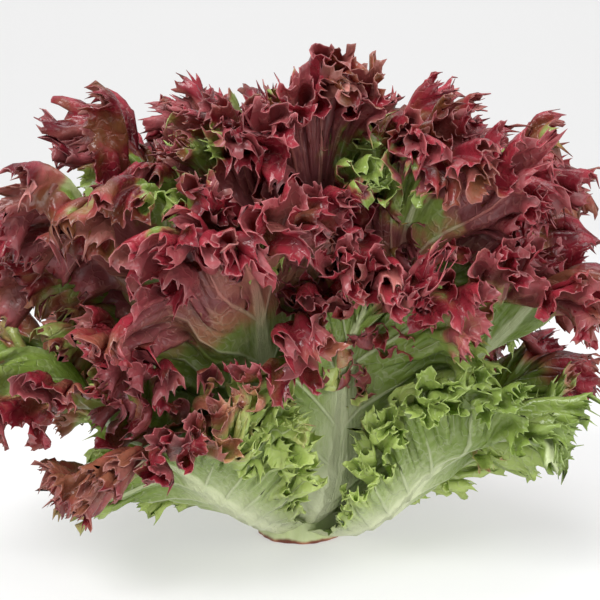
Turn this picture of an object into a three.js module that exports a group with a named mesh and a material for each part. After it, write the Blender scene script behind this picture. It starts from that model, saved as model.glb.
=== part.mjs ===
// A head of red leaf lettuce, standing on its cut stem: a short tapering stem with its leaves set round it
// in a spiral, each one a fan-shaped blade on a thick pale rib, with a waved and toothed edge.
// Millimetres, +Z up. The origin is the middle of the stem's cut face, and the front of the head faces -Y.
import * as THREE from "three";

// Stem
const STEM_FOOT_RADIUS = 17;
const STEM_TOP_RADIUS = 4.5;
const STEM_HEIGHT = 58;
const STEM_SIDES = 24;
const STEM_GAP = 0.7;

// Leaves, numbered from the outermost, lowest one to the heart
const LEAF_COUNT = 32;
const SPIRAL_STEP_DEG = 137.508;
const FIRST_LEAF_AZIMUTH_DEG = 52;
const LOWEST_ROOT = 5;
const HIGHEST_ROOT = 54;
const LEAF_LENGTHS = [118, 150, 166, 158, 140];
const LEAF_HALF_WIDTHS = [56, 62, 58, 44, 16];
const SIZE_SPREAD = 0.12;
const ROOT_HALF_WIDTHS = [13, 12, 10, 8, 5];
const ROOT_SLOPES_DEG = [10, 27, 42, 55, 66];
const MIDDLE_SLOPES_DEG = [34, 49, 63, 77, 91];
const TIP_SLOPES_DEG = [-8, 4, 24, 54, 98];

// The blade's outline: the height of its widest place, and the share of the margin that is above it
const SHOULDER_HEIGHT = 0.62;
const SHOULDER_SHARE = 0.46;
const HIGHEST_VEIN = 0.8;
const VEIN_CROWDING = 1.5;
const MOST_WRAP_DEG = 78;

// Waves and teeth of the margin
const MARGIN_COLUMNS = 20;
const PLAIN_CORNER_COLUMNS = 2;
const WAVES_ROUND = 11;
const EXTRA_WAVES = 3;
const WAVE_SHARES = [0.5, 0.5, 0.35];
const WAVES_BEGIN = 0.25;
const WAVE_DRIFT = 0.2;
const WAVE_PITCH = 9;
const WAVE_HEIGHTS = [9, 10, 9, 6, 1.5];
const FLARE = 3;
const TOOTH = 0.09;

// How the head has settled: lifted in front, and drooping to the left of that
const SETTLE_CENTRE = 6;
const SETTLE_TOP_DEG = 85;
const SETTLE_FADES_IN = [25, 90];
const LIFT_DEG = 22;
const LIFT_AT_DEG = 18;
const LIFT_SPREAD_DEG = 34;
const DROOP_DEG = 11;
const DROOP_AT_DEG = -60;
const DROOP_SPREAD_DEG = 30;

// Thickness
const BLADE_THICKNESS = 0.9;
const RIB_THICKNESSES = [4.2, 3.6, 2.8, 2, 1.4];
const RIB_WIDTH = 7;
const RIB_TIP_SHARE = 0.12;
const RIB_TAPER = 1.3;

const RADIANS = Math.PI / 180;
const PROFILE_STEPS = 48;
const PROFILE_OVERRUN = 1.2;

// The value at share 0 to 1 of a short list of evenly spaced values, joined smoothly
function along(values, share) {
  const place = Math.min(Math.max(share, 0), 1) * (values.length - 1);
  const i = Math.min(Math.floor(place), values.length - 2);
  const f = place - i;
  const before = values[Math.max(i - 1, 0)];
  const after = values[Math.min(i + 2, values.length - 1)];
  const [a, b] = [values[i], values[i + 1]];
  const bend = 2 * before - 5 * a + 4 * b - after;
  const twist = 3 * (a - b) + after - before;
  return a + 0.5 * f * (b - before + f * (bend + f * twist));
}

function smooth(low, high, value) {
  const f = Math.min(Math.max((value - low) / (high - low), 0), 1);
  return f * f * (3 - 2 * f);
}

// A repeatable random number from 0 to 1 for each leaf
function random(number) {
  const x = Math.sin(number * 127.1 + 311.7) * 43758.5453;
  return x - Math.floor(x);
}

function stemRadius(height) {
  return STEM_FOOT_RADIUS + (STEM_TOP_RADIUS - STEM_FOOT_RADIUS) * (height / STEM_HEIGHT);
}

// A leaf's sizes and the curve that its rib follows: radius, height and slope at even steps along its length
function makeLeaf(number) {
  const depth = number / (LEAF_COUNT - 1);
  const length = along(LEAF_LENGTHS, depth);
  const rootHeight = LOWEST_ROOT + (HIGHEST_ROOT - LOWEST_ROOT) * depth;
  const [root, middle, tip] = [ROOT_SLOPES_DEG, MIDDLE_SLOPES_DEG, TIP_SLOPES_DEG].map(
    (slopes) => along(slopes, depth) * RADIANS,
  );
  const profile = [{ r: stemRadius(rootHeight) + STEM_GAP, z: rootHeight, slope: root }];
  for (let i = 1; i <= PROFILE_STEPS * PROFILE_OVERRUN; i++) {
    const t = (i - 0.5) / PROFILE_STEPS;
    const slope = root * (1 - t) * (1 - 2 * t) + middle * 4 * t * (1 - t) + tip * t * (2 * t - 1);
    const last = profile[i - 1];
    const step = length / PROFILE_STEPS;
    profile.push({ r: last.r + step * Math.cos(slope), z: last.z + step * Math.sin(slope), slope });
  }
  return {
    number,
    depth,
    length,
    profile,
    azimuth: (FIRST_LEAF_AZIMUTH_DEG + number * SPIRAL_STEP_DEG) * RADIANS,
    size: 1 + SIZE_SPREAD * (random(number) - 0.5),
    halfWidth: along(LEAF_HALF_WIDTHS, depth),
    rootHalfWidth: along(ROOT_HALF_WIDTHS, depth),
    waveHeight: along(WAVE_HEIGHTS, depth),
    ribThickness: along(RIB_THICKNESSES, depth),
  };
}

// The margin's place on the flat blade. Side runs from -1 at one root corner over 0 at the tip to 1 at the
// other corner.
function marginAt(leaf, side) {
  const q = Math.abs(side);
  const sign = Math.sign(side);
  if (q < SHOULDER_SHARE) {
    const turn = (q / SHOULDER_SHARE) * (Math.PI / 2);
    return {
      x: sign * leaf.size * leaf.halfWidth * Math.sin(turn),
      y: leaf.size * leaf.length * (SHOULDER_HEIGHT + (1 - SHOULDER_HEIGHT) * Math.cos(turn)),
    };
  }
  const rise = 1 - (q - SHOULDER_SHARE) / (1 - SHOULDER_SHARE);
  const width = leaf.rootHalfWidth + (leaf.size * leaf.halfWidth - leaf.rootHalfWidth) * smooth(0, 1, rise);
  return { x: sign * width, y: leaf.size * leaf.length * SHOULDER_HEIGHT * rise };
}

// The folds that run through the whole head, so that leaves that lie on each other fold alike and stay clear
function headWave(leaf, turn, height, share) {
  const drift = WAVE_DRIFT * leaf.number;
  const first = Math.sin(WAVES_ROUND * turn + height / WAVE_PITCH + drift);
  const second = Math.sin((WAVES_ROUND + EXTRA_WAVES) * turn - height / WAVE_PITCH - drift);
  const third = Math.sin(2 * WAVES_ROUND * turn - height / WAVE_PITCH + drift);
  const sum = WAVE_SHARES[0] * first + WAVE_SHARES[1] * second + WAVE_SHARES[2] * third;
  return leaf.waveHeight * smooth(WAVES_BEGIN, 1, share) * sum;
}

// The whole head's settled shape: it stands higher in front, where its pale blades show, and droops to the
// left of that. The move is greatest a third of the way up, and is even in its rise and fall.
function settle(turn, r, z) {
  const bump = (degrees, spread) => {
    const apart = turn / RADIANS - degrees;
    return Math.exp(-(((apart - 360 * Math.round(apart / 360)) / spread) ** 2));
  };
  const elevation = Math.atan2(z - SETTLE_CENTRE, r);
  const reach = Math.hypot(z - SETTLE_CENTRE, r);
  const share = Math.min(Math.max(elevation / (SETTLE_TOP_DEG * RADIANS), 0), 1);
  const part = (27 / 4) * share * (1 - share) ** 2 * smooth(...SETTLE_FADES_IN, reach);
  const lift = LIFT_DEG * bump(LIFT_AT_DEG, LIFT_SPREAD_DEG);
  const droop = DROOP_DEG * bump(DROOP_AT_DEG, DROOP_SPREAD_DEG);
  const settled = elevation + (lift - droop) * RADIANS * part;
  return { r: reach * Math.cos(settled), z: SETTLE_CENTRE + reach * Math.sin(settled) };
}

// A point of the leaf's middle surface: out is 0 on the rib and 1 on the margin, along a side vein
function bladePoint(leaf, side, out) {
  const margin = marginAt(leaf, side);
  const veinStart = leaf.length * HIGHEST_VEIN * (1 - Math.abs(side)) ** VEIN_CROWDING;
  const x = margin.x * out;
  const y = veinStart + (margin.y - veinStart) * out;
  const place = Math.min(Math.max((y / leaf.length) * PROFILE_STEPS, 0), leaf.profile.length - 1.001);
  const [a, b] = [leaf.profile[Math.floor(place)], leaf.profile[Math.floor(place) + 1]];
  const f = place - Math.floor(place);
  const radius = a.r + (b.r - a.r) * f;
  const height = a.z + (b.z - a.z) * f;
  const slope = a.slope + (b.slope - a.slope) * f;
  const most = MOST_WRAP_DEG * RADIANS;
  const turn = leaf.azimuth + most * Math.tanh(x / (radius * most));
  const share = y / leaf.length;
  const flare = FLARE * smooth(0.5, 1, out) * smooth(0.2, 0.5, share);
  const outward = headWave(leaf, turn, height, share) + flare;
  const { r, z } = settle(turn, radius + outward * Math.sin(slope), height - outward * Math.cos(slope));
  return new THREE.Vector3(r * Math.sin(turn), -r * Math.cos(turn), z);
}

// The rows of the blade's net from the rib to the margin: how far out each is, and how many columns it
// steps over
const ROWS = [
  { out: 0, stride: 4 },
  { out: 0.14, stride: 4 },
  { out: 0.52, stride: 2 },
  { out: 0.78, stride: 1 },
  { out: 1, stride: 1 },
];

// One closed solid from the net of the blade: its outer and inner faces, and the rim that joins them
function leafGeometry(leaf) {
  const middle = [];
  const halfThickness = [];
  const index = new Map();
  const vertex = (row, column) => {
    const key = row === 0 ? `rib${Math.abs(column)}` : `${row},${column}`;
    if (!index.has(key)) {
      const isMargin = row === ROWS.length - 1;
      const isToothed = isMargin && Math.abs(column) < MARGIN_COLUMNS - PLAIN_CORNER_COLUMNS;
      const tooth = column % 2 ? TOOTH : -TOOTH;
      const out = ROWS[row].out + (isToothed ? tooth : 0);
      const side = column / MARGIN_COLUMNS;
      index.set(key, middle.length);
      middle.push(bladePoint(leaf, side, out));
      const fromRib = Math.abs(marginAt(leaf, side).x * out) / RIB_WIDTH;
      const taper = RIB_TIP_SHARE + (1 - RIB_TIP_SHARE) * Math.abs(side) ** RIB_TAPER;
      halfThickness.push({
        inner: BLADE_THICKNESS / 2,
        outer: BLADE_THICKNESS / 2 + leaf.ribThickness * Math.exp(-fromRib * fromRib) * taper,
      });
    }
    return index.get(key);
  };
  const faces = [];
  for (const sign of [-1, 1]) {
    const face = (a, b, c) => {
      if (a !== b && b !== c && c !== a) faces.push(sign > 0 ? [a, c, b] : [a, b, c]);
    };
    for (let row = 0; row + 1 < ROWS.length; row++) {
      const [near, far] = [ROWS[row].stride, ROWS[row + 1].stride];
      for (let column = 0; column < MARGIN_COLUMNS; column += near) {
        const [n0, n1] = [vertex(row, sign * column), vertex(row, sign * (column + near))];
        const [f0, f1] = [vertex(row + 1, sign * column), vertex(row + 1, sign * (column + near))];
        if (near === far) {
          face(n0, f0, f1);
          face(n0, f1, n1);
        } else {
          const between = vertex(row + 1, sign * (column + far));
          face(n0, f0, between);
          face(n0, between, n1);
          face(n1, between, f1);
        }
      }
    }
  }

  const normals = middle.map(() => new THREE.Vector3());
  for (const [a, b, c] of faces) {
    const normal = new THREE.Vector3()
      .subVectors(middle[b], middle[a])
      .cross(new THREE.Vector3().subVectors(middle[c], middle[a]));
    for (const corner of [a, b, c]) normals[corner].add(normal);
  }
  normals.forEach((normal) => normal.normalize());
  const count = middle.length;
  const positions = new Float32Array(count * 6);
  middle.forEach((point, i) => {
    const outer = point.clone().addScaledVector(normals[i], halfThickness[i].outer);
    const inner = point.clone().addScaledVector(normals[i], -halfThickness[i].inner);
    outer.toArray(positions, i * 3);
    inner.toArray(positions, (count + i) * 3);
  });

  const triangles = [];
  const edges = new Set();
  for (const [a, b, c] of faces) {
    triangles.push(a, b, c, count + a, count + c, count + b);
    for (const [from, to] of [[a, b], [b, c], [c, a]]) edges.add(`${from},${to}`);
  }
  for (const edge of edges) {
    const [from, to] = edge.split(",").map(Number);
    if (!edges.has(`${to},${from}`)) triangles.push(to, from, count + from, to, count + from, count + to);
  }
  const geometry = new THREE.BufferGeometry();
  geometry.setAttribute("position", new THREE.BufferAttribute(positions, 3));
  geometry.setIndex(triangles);
  return geometry;
}

function stemGeometry() {
  const outline = [
    [0, 0],
    [STEM_FOOT_RADIUS, 0],
    [stemRadius(STEM_HEIGHT * 0.9), STEM_HEIGHT * 0.9],
    [0, STEM_HEIGHT],
  ];
  const stem = new THREE.LatheGeometry(
    outline.map(([radius, height]) => new THREE.Vector2(radius, height)),
    STEM_SIDES,
  );
  return stem.rotateX(Math.PI / 2);
}

const head = new THREE.Group();

const stem = new THREE.Mesh(
  stemGeometry(),
  new THREE.MeshStandardMaterial({ color: 0xc9d3a4, roughness: 0.55, metalness: 0 }),
);
stem.name = "stem";
head.add(stem);

for (let number = 0; number < LEAF_COUNT; number++) {
  const leaf = new THREE.Mesh(
    leafGeometry(makeLeaf(number)),
    new THREE.MeshStandardMaterial({ color: 0x6b2030, roughness: 0.45, metalness: 0 }),
  );
  leaf.name = `leaf_${String(number + 1).padStart(2, "0")}`;
  head.add(leaf);
}

export default head;
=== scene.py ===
"""A head of red leaf lettuce on a pale floor: its leaves, its stem and the stage that it is shown on.

Places are in metres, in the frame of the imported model: +Z up, and the front of the head faces -Y.
A leaf's own sizes are in millimetres until its points are made.
"""

import math

import bpy
import numpy as np
from bpy.props import FloatProperty, FloatVectorProperty, PointerProperty
from bpy.types import Operator, Panel, PropertyGroup
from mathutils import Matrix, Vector


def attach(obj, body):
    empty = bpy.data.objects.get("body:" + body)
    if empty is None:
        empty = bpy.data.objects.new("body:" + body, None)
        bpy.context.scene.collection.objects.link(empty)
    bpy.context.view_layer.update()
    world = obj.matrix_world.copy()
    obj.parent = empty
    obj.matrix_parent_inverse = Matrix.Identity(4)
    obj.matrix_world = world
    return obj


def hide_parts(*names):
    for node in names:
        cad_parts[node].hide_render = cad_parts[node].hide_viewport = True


bl_info = {
    "name": "Red Leaf Lettuce",
    "version": (1, 0, 0),
    "blender": (4, 5, 0),
    "location": "View3D > Sidebar > Lettuce",
    "description": "Makes the leaves, the stem and the stage of a head of red leaf lettuce",
    "category": "Add Mesh",
}

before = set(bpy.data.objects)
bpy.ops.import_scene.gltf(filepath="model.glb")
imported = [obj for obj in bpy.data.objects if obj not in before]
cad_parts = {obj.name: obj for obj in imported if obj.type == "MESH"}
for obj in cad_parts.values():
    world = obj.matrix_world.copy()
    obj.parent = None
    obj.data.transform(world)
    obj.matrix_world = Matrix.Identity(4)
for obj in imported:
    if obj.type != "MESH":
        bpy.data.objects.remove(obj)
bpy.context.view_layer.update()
LEAF_NODES = sorted(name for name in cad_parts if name.startswith("leaf_"))

MM = 0.001
RADIANS = math.pi / 180
TURN = 2 * math.pi

# The form of the head in millimetres and degrees, which the leaves share with the CAD model
STEM_FOOT_RADIUS = 17
STEM_TOP_RADIUS = 4.5
STEM_HEIGHT = 58
STEM_GAP = 0.7
SPIRAL_STEP_DEG = 137.508
FIRST_LEAF_AZIMUTH_DEG = 52
LOWEST_ROOT = 5
HIGHEST_ROOT = 54
LEAF_LENGTHS = (118, 150, 166, 158, 140)
LEAF_HALF_WIDTHS = (56, 62, 58, 44, 16)
SIZE_SPREAD = 0.12
ROOT_HALF_WIDTHS = (13, 12, 10, 8, 5)
ROOT_SLOPES_DEG = (10, 27, 42, 55, 66)
MIDDLE_SLOPES_DEG = (34, 49, 63, 77, 91)
TIP_SLOPES_DEG = (-8, 4, 24, 54, 98)
SHOULDER_HEIGHT = 0.62
SHOULDER_SHARE = 0.46
HIGHEST_VEIN = 0.7
VEIN_CROWDING = 1.5
MOST_WRAP_DEG = 78
WAVES_ROUND = 11
EXTRA_WAVES = 3
WAVE_SHARES = (0.5, 0.5, 0.35)
WAVES_BEGIN = 0.25
WAVE_DRIFT = 0.2
WAVE_PITCH = 9
WAVE_HEIGHTS = (9, 10, 9, 6, 1.5)
FLARE = 3
FLARE_FADES_IN = (0.2, 0.5)
SETTLE_CENTRE = 6
SETTLE_TOP_DEG = 85
SETTLE_FADES_IN = (25, 90)
LIFT_DEG = 22
LIFT_AT_DEG = 18
LIFT_SPREAD_DEG = 34
DROOP_DEG = 11
DROOP_AT_DEG = -60
DROOP_SPREAD_DEG = 30
PROFILE_STEPS = 48
PROFILE_OVERRUN = 1.2

# How far a leaf's root runs on into the stem, and over what length of the leaf it is moved for that
ROOT_SINK = 4
ROOT_SINK_FADE = 12

# The net of a leaf: how far out each row is, from the rib to the margin, and how many columns it steps over
ROWS = (
    (0.0, 16),
    (0.07, 16),
    (0.16, 16),
    (0.27, 16),
    (0.38, 8),
    (0.48, 8),
    (0.57, 8),
    (0.65, 4),
    (0.72, 4),
    (0.78, 4),
    (0.83, 4),
    (0.875, 2),
    (0.915, 2),
    (0.955, 2),
    (1.0, 1),
)

# One lobe of the margin, column by column from its middle point: how far it stands out and how far it splays
LOBE_HALF_OUTLINE = (1.1, 0.34, 0.05, 0.25, 0.75)
LOBE_HALF_SPLAY = (0.0, -0.25, 0.0, 0.2, 0.0)
LOBE_COLUMNS = 2 * (len(LOBE_HALF_OUTLINE) - 1)
LOBE_MIDDLE = 0.5
LOBES_IN_GROUP = 2.6
LOBE_DRIFT_PITCH = 0.8
SMALLEST_LOBE = 0.6
LARGEST_LOBE = 1.25
SMALLEST_TIP = 0.4
LARGEST_TIP = 1.3
LOBE_FADE = 10
LOBES_END = 0.06
MOST_LOBES = 128
# Low on the leaf the lobes are larger, by this share
LOW_LOBES_GROW = 0.5
LOW_LOBES = (0.6, 0.25)

# The side veins on each half, and how deep the margin is cut between two of them and over how much of the gap
SIDE_VEINS = 8
SHORTEST_VEIN = 1.0
DEEPEST_CUT = 0.5
CUT_EVENNESS = 0.6
CUT_PITCH = 1.3
CUT_FROM = 0.15
CUT_AT_TIP = 0.65
CUT_FADES_IN = (0.08, 0.3)
CUTS_END = 0.15

# Leaves that are cut back: how much of the side veins is gone on the left, at the tip and on the right
TRIMS = {
    0: (0.34, 0.04, 0.08),
    2: (0.05, 0.24, 0.2),
    3: (0.1, 0.1, 0.1),
    4: (0.15, 0.15, 0.15),
    7: (0.0, 0.1, 0.0),
    8: (-0.05, 0.08, -0.05),
    11: (-0.15, -0.15, -0.15),
    16: (-0.1, -0.1, -0.1),
    17: (-0.15, -0.1, -0.1),
    20: (-0.2, 0.12, 0.0),
    22: (0.08, 0.08, 0.08),
    23: (0.18, 0.25, 0.08),
    25: (0.1, 0.15, 0.1),
    26: (0.1, 0.1, 0.1),
    27: (0.2, 0.2, 0.2),
    28: (0.2, 0.2, 0.2),
    30: (0.2, 0.2, 0.2),
    31: (0.2, 0.2, 0.2),
}
TRIM_PLACES = (-1, -0.45, 0, 0.45, 1)

# How strongly the margin rolls over and how high its waves are, from the outermost leaf to the heart
ROLL_SHARES = (0.35, 0.8, 1, 0.9, 0.5)
FRILL_SHARES = (0.9, 1, 1, 0.85, 0.5)

# Where the margin is free to wave: out from the rib, away from the root, on long side veins and high up
FREE_FROM_RIB = 0.5
FREE_FROM_ROOT = 0.12
LEAST_FREE_ON_SHORT_VEINS = 0.4
VEIN_GETS_LONG = (15, 50)
LEAST_FREE_LOW = 0.3
BLADE_GETS_HIGH = (0.2, 0.55)

# The smooth grid that the waves are made on, which runs on past the margin for the lobes
GRID_COLUMNS = 900
GRID_ROWS = 24
GRID_CROWDING = 1.25
GRID_ROWS_BEYOND = 4
GRID_STEP_BEYOND = 3
OUTWARDS_STEP = 0.01
SIDEWAYS_STEP = 0.002

# The ruffle's sizes: lengths, bands and wanders of the waves are in millimetres along or in from the margin
RUFFLE_INPUTS = {
    "Quilt Height": 1.4 * MM,
    "Blister Height": 6 * MM,
    "Blister Size": 9.5 * MM,
    "Roll Angle": 60 * RADIANS,
    "Roll Band": 25.0,
    "Roll Unevenness": 0.8,
    "Pleat Height": 8 * MM,
    "Pleat Length": 13.5,
    "Pleat Band": 46.0,
    "Pleat Wander": 5.0,
    "Fold Height": 4.4 * MM,
    "Fold Length": 4.2,
    "Fold Band": 54.0,
    "Fold Wander": 3.0,
    "Crimp Height": 1.5 * MM,
    "Crimp Length": 1.7,
    "Crimp Band": 9.0,
    "Crimp Wander": 0.0,
    "Overhang": 0.24,
    "Seed": 0.0,
}
# How far from the rib the quilting and the blisters begin and are full, in millimetres
QUILT_FROM_RIB = (4, 16)
BLISTERS_FROM_RIB = (4, 18)
# How unevenly the roll and the waves change along the margin, and the least of the roll that is left
ROLL_PITCH = 0.8
LEAST_ROLL = 0.1
LEAST_BEND = 1e-4
HEIGHT_PITCH = 0.4
HEIGHT_UNEVENNESS = 0.3
WANDER_PITCH = 0.6
# Steps that keep the leaves' noises apart, and the noises of one leaf
SEED_STEP = 10.0
WAVES_SEED_STEP = 23
ROLL_SEED = 5
HEIGHT_SEED = 71

# The rib and the side veins on the outer face, in millimetres, and how thin the blade gets at the margin
RIB_THICKNESSES = (4.2, 3.6, 2.8, 2, 1.4)
RIB_WIDTH = 7
RIB_THICKNESS_AT_TIP = 0.12
RIB_WIDTH_AT_TIP = 0.35
RIB_TAPER = 1.3
VEIN_WIDTH = 1.8
VEIN_TAPER = 0.8
VEINS_FADE_IN = (0.05, 0.2)
MARGIN_THICKNESS = 0.5
MARGIN_THINS_OVER = 10
# Under this height the leaves are bent up, away from the floor
FLOOR_CLEARANCE = 4 * MM

# Where frills in front are green or paler: how far right, how high and how wide in millimetres, and how much
GREENER_PATCHES = (
    (-34, 157, 8, 0.65),
    (-48, 141, 7, 0.6),
    (24, 155, 10, 0.65),
    (37, 141, 9, 0.5),
    (46, 134, 8, 0.35),
    (-112, 88, 20, 0.35),
    (-38, 128, 12, 0.12),
    (74, 78, 24, 0.35),
    (98, 60, 22, 0.3),
    (-10, 60, 20, 0.12),
)

# Sizes of the leaf's colour and surface noises, as features to a metre
PATCHES_TO_METRE = 16
SPOTS_TO_METRE = 34
MOTTLE_TO_METRE = 110
VEIN_NET_TO_METRE = 210
FINE_TO_METRE = 330
# The share of a leaf's length at which its margin turns red
TURNS_RED_AT = 0.48
# The share of the light that goes through a thin blade
LIGHT_THROUGH = 0.25

# The stem: its faces round, the heights and shares of its full radius for each ring, and its ridges
STEM_SIDES = 96
STEM_RINGS = (
    (0, 0.5),
    (0, 0.93),
    (0.4, 0.98),
    (1.4, 1),
    (4, 1),
    (9, 1),
    (16, 1),
    (24, 1),
    (32, 1),
    (40, 1),
    (47, 1),
    (52, 0.9),
    (56, 0.6),
)
STEM_RIDGES = ((7, 0.02, 0), (17, 0.012, 1))
CUT_FACE_COLOUR_HEIGHTS = (2.2 * MM, 0.8 * MM)
CUT_FACE_RAGGEDNESS = 3 * MM

# The stage in metres: a floor that sweeps up into a backdrop, and lamps with their place, size and power
FLOOR_REACH = 4.0
SWEEP_START = 1.4
SWEEP_RADIUS = 0.9
SWEEP_STEPS = 13
FLOOR_GREY = 0.45
FLOOR_ROUGHNESS = 0.9
FLOOR_GLOW = 0.45
SKY_STRENGTH = 0.62
LAMPS = (
    ("key", (-0.6, -0.9, 1.1), 0.8, 18.5),
    ("fill", (0.9, -1.0, 0.45), 1.2, 10.5),
    ("top", (0.1, 0.15, 1.3), 0.8, 6),
)
LAMPS_AIM = (0, 0, 0.08)
SENSOR_WIDTH = 36


def along(values, share):
    """The value at share 0 to 1 of a short list of evenly spaced values, joined smoothly."""
    place = min(max(share, 0), 1) * (len(values) - 1)
    i = min(int(place), len(values) - 2)
    f = place - i
    before = values[max(i - 1, 0)]
    after = values[min(i + 2, len(values) - 1)]
    a, b = values[i], values[i + 1]
    bend = 2 * before - 5 * a + 4 * b - after
    twist = 3 * (a - b) + after - before
    return a + 0.5 * f * (b - before + f * (bend + f * twist))


def smooth(low, high, value):
    """Rises smoothly from 0 at low to 1 at high. Low may be the greater."""
    f = np.clip((value - low) / (high - low), 0, 1)
    return f * f * (3 - 2 * f)


def rising(least, low, high, value):
    """Rises smoothly from least at low to 1 at high."""
    return least + (1 - least) * smooth(low, high, value)


def draw(number):
    """A repeatable number from 0 to 1 for each leaf."""
    x = math.sin(number * 127.1 + 311.7) * 43758.5453
    return x - math.floor(x)


def wobble(x, seed):
    """A smooth uneven wave from about -1 to 1."""
    waves = ((1, 1.0), (1.7, 0.6), (2.9, 0.4))
    total = sum(weight * np.sin(pace * x + seed * (3.1 + pace)) for pace, weight in waves)
    return total / sum(weight for _, weight in waves)


def unit(vectors):
    """The vectors of an array's last axis, made one long."""
    return vectors / np.maximum(np.linalg.norm(vectors, axis=-1, keepdims=True), 1e-12)


def settle(turn, r, z):
    """The whole head's settled shape: lifted in front and drooping to the left of that."""

    def bump(degrees, spread):
        apart = turn / RADIANS - degrees
        return np.exp(-(((apart - 360 * np.round(apart / 360)) / spread) ** 2))

    elevation = np.arctan2(z - SETTLE_CENTRE, r)
    reach = np.hypot(z - SETTLE_CENTRE, r)
    share = np.clip(elevation / (SETTLE_TOP_DEG * RADIANS), 0, 1)
    part = 27 / 4 * share * (1 - share) ** 2 * smooth(*SETTLE_FADES_IN, reach)
    lift = LIFT_DEG * bump(LIFT_AT_DEG, LIFT_SPREAD_DEG)
    droop = DROOP_DEG * bump(DROOP_AT_DEG, DROOP_SPREAD_DEG)
    settled = elevation + (lift - droop) * RADIANS * part
    return reach * np.cos(settled), SETTLE_CENTRE + reach * np.sin(settled)


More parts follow.
